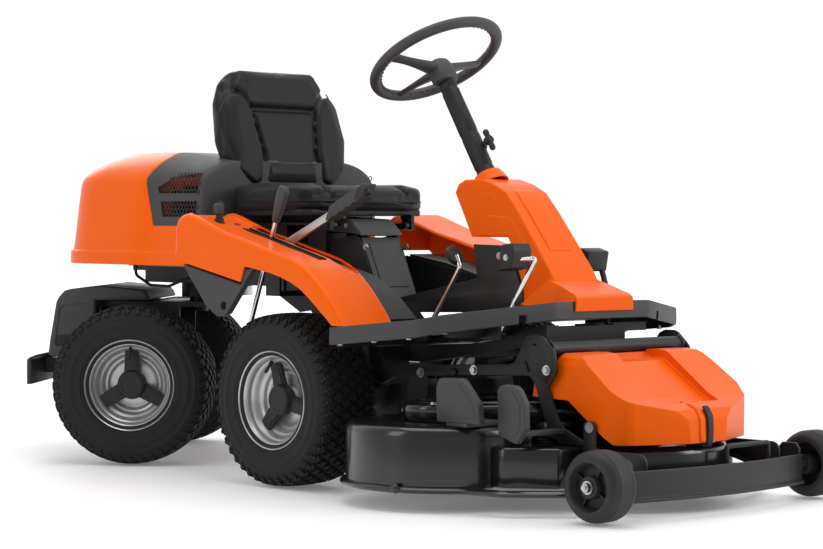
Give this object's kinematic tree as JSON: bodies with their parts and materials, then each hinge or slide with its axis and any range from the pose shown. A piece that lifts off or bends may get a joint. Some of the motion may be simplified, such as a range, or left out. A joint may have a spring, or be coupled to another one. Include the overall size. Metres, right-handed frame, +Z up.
{
  "type": "riding lawn mower",
  "caption": "Articulated front-mower rider: padded seat, rear engine under a hood, steered rear bogie and a front cutting deck on a lifting frame.",
  "frame": {"origin": "on the ground under the middle of the machine's box, with the bogie steered as built", "axes": "+Z up, -Y forward (the driver faces -Y), -X is the driver's right"},
  "size_m": [1.102, 2.3006, 1.112],
  "materials": {
    "axle_iron": "black painted casting",
    "black_plastic": "moulded black plastic",
    "black_steel": "black powder coat",
    "deck_steel": "gloss black paint",
    "engine_alloy": "cast aluminium",
    "grey_plastic": "moulded dark grey plastic",
    "orange_plastic": "moulded orange plastic, satin gloss",
    "seat_vinyl": "black vinyl",
    "solid_rubber": "solid rubber",
    "tyre_rubber": "turf tyre rubber",
    "wheel_silver": "silver paint",
    "zinc_steel": "zinc-plated steel"
  },
  "bodies": {
    "chassis": {"chassis_frame": "black_steel", "front_axle": "axle_iron", "footplate": "black_steel", "footplate_skirt": "grey_plastic", "tunnel": "black_steel", "pedestal_cover": "grey_plastic", "console_cover": "orange_plastic", "column_tube": "black_steel", "fender_right": "orange_plastic", "fender_left": "orange_plastic", "fender_trims": "grey_plastic", "engine_block": "engine_alloy", "muffler": "black_steel", "fuel_tank": "black_plastic", "battery": "black_plastic", "harness_cable": "solid_rubber", "chassis_bolts": "zinc_steel", "seat_bracket": "black_steel"},
    "engine_pulley_body": {"engine_pulley": "zinc_steel"},
    "hood_body": {"hood": "orange_plastic", "hood_grille": "grey_plastic"},
    "seat": {"seat_pan": "black_plastic", "seat_cushion": "seat_vinyl", "seat_backrest": "seat_vinyl"},
    "column": {"column_sleeve": "black_steel"},
    "knob": {"column_knob": "black_plastic"},
    "steering": {"steering_wheel": "grey_plastic"},
    "lift_lever_body": {"lift_lever": "zinc_steel", "lift_grip": "grey_plastic"},
    "lift_button_body": {"lift_button": "black_plastic"},
    "height_lever_body": {"height_lever": "zinc_steel"},
    "throttle_body": {"throttle_lever": "grey_plastic"},
    "key_body": {"ignition_key": "black_plastic"},
    "forward_pedal_body": {"forward_pedal": "black_plastic"},
    "reverse_pedal_body": {"reverse_pedal": "black_plastic"},
    "brake_pedal_body": {"brake_pedal": "black_plastic"},
    "bogie": {"bogie_frame": "black_steel", "transaxle": "engine_alloy", "tail_cover": "grey_plastic", "rear_bumper": "black_steel"},
    "deck": {"equipment_frame": "black_steel", "deck_shell": "deck_steel", "belt_cover": "black_plastic", "deck_cover": "orange_plastic", "front_bumper": "black_steel", "deck_guards": "grey_plastic", "deck_belt": "solid_rubber"},
    "wheel_front_right": {"tyre_front_right": "tyre_rubber", "rim_front_right": "wheel_silver"},
    "wheel_rear_right": {"tyre_rear_right": "tyre_rubber", "rim_rear_right": "wheel_silver"},
    "deck_wheel_body_right": {"deck_wheel_right": "solid_rubber"},
    "wheel_front_left": {"tyre_front_left": "tyre_rubber", "rim_front_left": "wheel_silver"},
    "wheel_rear_left": {"tyre_rear_left": "tyre_rubber", "rim_rear_left": "wheel_silver"},
    "deck_wheel_body_left": {"deck_wheel_left": "solid_rubber"},
    "blade_body_right": {"blade_right": "zinc_steel"},
    "blade_body_left": {"blade_left": "zinc_steel"},
    "blade_body_front": {"blade_front": "zinc_steel"}
  },
  "joints": [
    {"name": "spin_front_right", "type": "hinge", "parent": "chassis", "child": "wheel_front_right", "pos_m": [-0.352, -0.1102, 0.2035], "axis": [1, 0, 0], "continuous": true},
    {"name": "spin_rear_right", "type": "hinge", "parent": "bogie", "child": "wheel_rear_right", "pos_m": [-0.30845, 0.55214, 0.2035], "axis": [0.7627, 0.6468, 0], "continuous": true},
    {"name": "deck_wheel_spin_right", "type": "hinge", "parent": "deck", "child": "deck_wheel_body_right", "pos_m": [-0.37, -1.07469, 0.0786], "axis": [1, 0, 0], "continuous": true},
    {"name": "spin_front_left", "type": "hinge", "parent": "chassis", "child": "wheel_front_left", "pos_m": [0.352, -0.1102, 0.2035], "axis": [1, 0, 0], "continuous": true},
    {"name": "spin_rear_left", "type": "hinge", "parent": "bogie", "child": "wheel_rear_left", "pos_m": [0.16745, 0.95574, 0.2035], "axis": [0.7627, 0.6468, 0], "continuous": true},
    {"name": "deck_wheel_spin_left", "type": "hinge", "parent": "deck", "child": "deck_wheel_body_left", "pos_m": [0.37, -1.07469, 0.0786], "axis": [1, 0, 0], "continuous": true},
    {"name": "blade_spin_right", "type": "hinge", "parent": "deck", "child": "blade_body_right", "pos_m": [-0.325, -0.5682, 0.15], "axis": [0, 0, 1], "continuous": true},
    {"name": "blade_spin_left", "type": "hinge", "parent": "deck", "child": "blade_body_left", "pos_m": [0.325, -0.5682, 0.15], "axis": [0, 0, 1], "continuous": true},
    {"name": "blade_spin_front", "type": "hinge", "parent": "deck", "child": "blade_body_front", "pos_m": [0, -0.8122, 0.15], "axis": [0, 0, 1], "continuous": true},
    {"name": "bogie_steer", "type": "hinge", "parent": "chassis", "child": "bogie", "pos_m": [0, 0.6708, 0.45], "axis": [0, 0, 1], "range_deg": [-84, 3.5]},
    {"name": "column_height", "type": "slide", "parent": "chassis", "child": "column", "axis": [0, 0.527, 0.8499], "range_m": [0, 0.05]},
    {"name": "steering_turn", "type": "hinge", "parent": "column", "child": "steering", "pos_m": [0, -0.2212, 1.015], "axis": [0, 0.527, 0.8499], "range_deg": [-21, 504]},
    {"name": "column_knob_turn", "type": "hinge", "parent": "column", "child": "knob", "pos_m": [0, -0.39325, 0.81341], "axis": [0, -0.8499, 0.527], "range_deg": [-90, 90]},
    {"name": "hood_open", "type": "hinge", "parent": "chassis", "child": "hood_body", "pos_m": [0, 0.8798, 0.514], "axis": [-1, 0, 0], "range_deg": [0, 75]},
    {"name": "seat_tip", "type": "hinge", "parent": "chassis", "child": "seat", "pos_m": [0, 0.00781, 0.612], "axis": [1, 0, 0], "range_deg": [0, 55]},
    {"name": "deck_lift", "type": "hinge", "parent": "chassis", "child": "deck", "pos_m": [0, -0.2502, 0.262], "axis": [-1, 0, 0], "range_deg": [0, 5]},
    {"name": "lift_lever_swing", "type": "hinge", "parent": "chassis", "child": "lift_lever_body", "pos_m": [-0.3, 0.06481, 0.53], "axis": [-1, 0, 0], "range_deg": [0, 60]},
    {"name": "lift_button_press", "type": "slide", "parent": "lift_lever_body", "child": "lift_button_body", "axis": [0, 0.9135, -0.4067], "range_m": [0, 0.007], "stiffness_N_per_m": 400, "springref_m": -0.004},
    {"name": "height_lever_swing", "type": "hinge", "parent": "chassis", "child": "height_lever_body", "pos_m": [-0.345, 0.06781, 0.35], "axis": [1, 0, 0], "range_deg": [-17, 20]},
    {"name": "throttle_swing", "type": "hinge", "parent": "chassis", "child": "throttle_body", "pos_m": [-0.38, 0.13581, 0.575], "axis": [1, 0, 0], "range_deg": [-22, 22]},
    {"name": "key_turn", "type": "hinge", "parent": "chassis", "child": "key_body", "pos_m": [-0.332, 0.18981, 0.64], "axis": [0, 0, 1], "range_deg": [-90, 0]},
    {"name": "forward_pedal_press", "type": "hinge", "parent": "chassis", "child": "forward_pedal_body", "pos_m": [-0.212, -0.63919, 0.372], "axis": [1, 0, 0], "range_deg": [0, 14], "stiffness_Nm_per_rad": 20, "springref_deg": -17.19},
    {"name": "reverse_pedal_press", "type": "hinge", "parent": "chassis", "child": "reverse_pedal_body", "pos_m": [-0.178, -0.37219, 0.358], "axis": [1, 0, 0], "range_deg": [0, 12], "stiffness_Nm_per_rad": 12, "springref_deg": -17.19},
    {"name": "brake_pedal_press", "type": "hinge", "parent": "chassis", "child": "brake_pedal_body", "pos_m": [0.15, -0.63919, 0.372], "axis": [1, 0, 0], "range_deg": [0, 16], "stiffness_Nm_per_rad": 25, "springref_deg": -17.19},
    {"name": "engine_pulley_spin", "type": "hinge", "parent": "chassis", "child": "engine_pulley_body", "pos_m": [0, 0.5398, 0.44], "axis": [0, 0, 1], "continuous": true}
  ],
  "couplings": [
    {"joint": "steering_turn", "follows": "bogie_steer", "ratio": -6},
    {"joint": "lift_lever_swing", "follows": "deck_lift", "ratio": 12},
    {"joint": "blade_spin_right", "follows": "blade_spin_front", "ratio": 1},
    {"joint": "blade_spin_left", "follows": "blade_spin_front", "ratio": 1}
  ]
}
